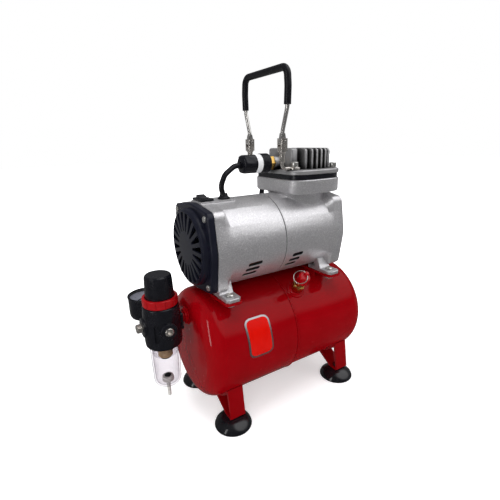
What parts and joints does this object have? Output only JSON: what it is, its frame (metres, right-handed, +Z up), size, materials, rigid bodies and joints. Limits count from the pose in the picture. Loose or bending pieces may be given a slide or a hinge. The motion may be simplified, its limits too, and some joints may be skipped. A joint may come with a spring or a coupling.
{
  "type": "airbrush compressor",
  "caption": "Piston airbrush compressor on a small horizontal air tank, with filter regulator, pressure gauge, safety valve, rocker switch and folding carrying handle.",
  "frame": {"origin": "on the ground plane that the feet stand on, below the middle of the object's outer box", "axes": "+Z up, +X along the tank and the motor towards the crankcase end, -Y the side with the safety valve, regulator at -X"},
  "size_m": [0.296, 0.1512, 0.4073],
  "materials": {
    "tank_paint": "high gloss deep red paint",
    "casing_paint": "die cast, metallic silver paint with fine sparkle",
    "cast_head": "die cast, bead blasted",
    "cast_metal": "machined casting",
    "black_plastic": "satin moulded",
    "gloss_black": "gloss moulded",
    "black_rubber": "smooth moulded",
    "bright_steel": "nickel plated",
    "zinc_steel": "zinc plated",
    "brass": "turned",
    "dark_steel": "machined steel",
    "winding": "enamelled copper wire and varnished laminations",
    "red_plastic": "moulded bright red",
    "clear": "clear moulded polycarbonate",
    "filter_tan": "sintered porous",
    "seal": "filled fluoropolymer"
  },
  "bodies": {
    "compressor": {"tank_left": "tank_paint", "tank_right": "tank_paint", "tank_nipple": "tank_paint", "leg_bracket_left": "tank_paint", "leg_bracket_right": "tank_paint", "foot_front_left": "black_rubber", "foot_front_right": "black_rubber", "foot_rear_left": "black_rubber", "foot_rear_right": "black_rubber", "saddle_left": "tank_paint", "saddle_right": "tank_paint", "motor_housing": "casing_paint", "crankcase": "casing_paint", "end_cover": "casing_paint", "fan_cover": "black_plastic", "stator": "winding", "bearing_front": "bright_steel", "bearing_rear": "bright_steel", "cylinder_sleeve": "cast_metal", "valve_plate": "black_plastic", "cylinder_head": "cast_head", "head_bolt_front_left": "zinc_steel", "head_bolt_front_right": "zinc_steel", "head_bolt_rear_left": "zinc_steel", "head_bolt_rear_right": "zinc_steel", "motor_bolt_front_left": "zinc_steel", "motor_bolt_front_right": "zinc_steel", "motor_bolt_rear_left": "zinc_steel", "motor_bolt_rear_right": "zinc_steel", "switch_cap": "black_plastic", "pressure_switch": "black_plastic", "switch_nut": "brass", "switch_cable": "black_rubber", "rocker_bezel": "black_plastic", "hook_front": "bright_steel", "hook_rear": "bright_steel", "regulator_body": "black_plastic", "filter_element": "filter_tan", "outlet_nipple": "bright_steel", "port_plug": "bright_steel", "gauge_case": "black_plastic", "gauge_lens": "clear", "safety_valve_body": "brass", "delivery_hose": "black_rubber"},
    "rotor": {"rotor_shaft": "dark_steel", "cooling_fan": "black_plastic", "crank_disc": "dark_steel"},
    "piston": {"connecting_rod": "cast_metal", "piston_seal": "seal"},
    "handle": {"handle_frame": "bright_steel", "handle_grip": "black_rubber"},
    "rocker": {"rocker_button": "gloss_black"},
    "knob": {"regulator_knob": "black_plastic"},
    "lock_ring": {"lock_ring": "red_plastic"},
    "bowl": {"filter_bowl": "clear"},
    "bowl_drain": {"bowl_drain_pin": "zinc_steel"},
    "needle": {"gauge_needle": "black_plastic"},
    "valve_cap": {"safety_valve_cap": "red_plastic"},
    "pull_ring": {"pull_ring": "bright_steel"},
    "tank_drain": {"drain_screw": "brass"}
  },
  "joints": [
    {"name": "rotor_spin", "type": "hinge", "parent": "compressor", "child": "rotor", "pos_m": [0.027, -0.00182, 0.216], "axis": [1, 0, 0], "continuous": true},
    {"name": "piston_stroke", "type": "slide", "parent": "compressor", "child": "piston", "axis": [0, 0, 1], "range_m": [-0.015, 0]},
    {"name": "handle_fold", "type": "hinge", "parent": "compressor", "child": "handle", "pos_m": [0.027, -0.00182, 0.328], "axis": [0, 1, 0], "range_deg": [-90, 90]},
    {"name": "rocker_press", "type": "hinge", "parent": "compressor", "child": "rocker", "pos_m": [-0.0572, 0.00018, 0.2684], "axis": [1, 0, 0], "range_deg": [-18, 0]},
    {"name": "knob_turn", "type": "hinge", "parent": "compressor", "child": "knob", "pos_m": [-0.119, -0.00482, 0.178], "axis": [0, 0, -1], "range_deg": [0, 630]},
    {"name": "lock_ring_turn", "type": "hinge", "parent": "compressor", "child": "lock_ring", "pos_m": [-0.119, -0.00482, 0.163], "axis": [0, 0, 1], "range_deg": [0, 90]},
    {"name": "bowl_turn", "type": "hinge", "parent": "compressor", "child": "bowl", "pos_m": [-0.119, -0.00482, 0.08], "axis": [0, 0, 1], "range_deg": [0, 60]},
    {"name": "bowl_drain_push", "type": "slide", "parent": "bowl", "child": "bowl_drain", "axis": [0, 0, 1], "range_m": [0, 0.003]},
    {"name": "needle_sweep", "type": "hinge", "parent": "compressor", "child": "needle", "pos_m": [-0.1205, 0.05218, 0.146], "axis": [0, 0, -1], "range_deg": [0, 270]},
    {"name": "safety_valve_lift", "type": "slide", "parent": "compressor", "child": "valve_cap", "axis": [0, -0.6018, 0.7986], "range_m": [0, 0.0025]},
    {"name": "pull_ring_swing", "type": "hinge", "parent": "valve_cap", "child": "pull_ring", "pos_m": [0.044, -0.06321, 0.17546], "axis": [0, 0.7986, 0.6018], "range_deg": [0, 110]},
    {"name": "tank_drain_turn", "type": "hinge", "parent": "compressor", "child": "tank_drain", "pos_m": [0.057, -0.00182, 0.02], "axis": [0, 0, -1], "range_deg": [0, 540]}
  ]
}
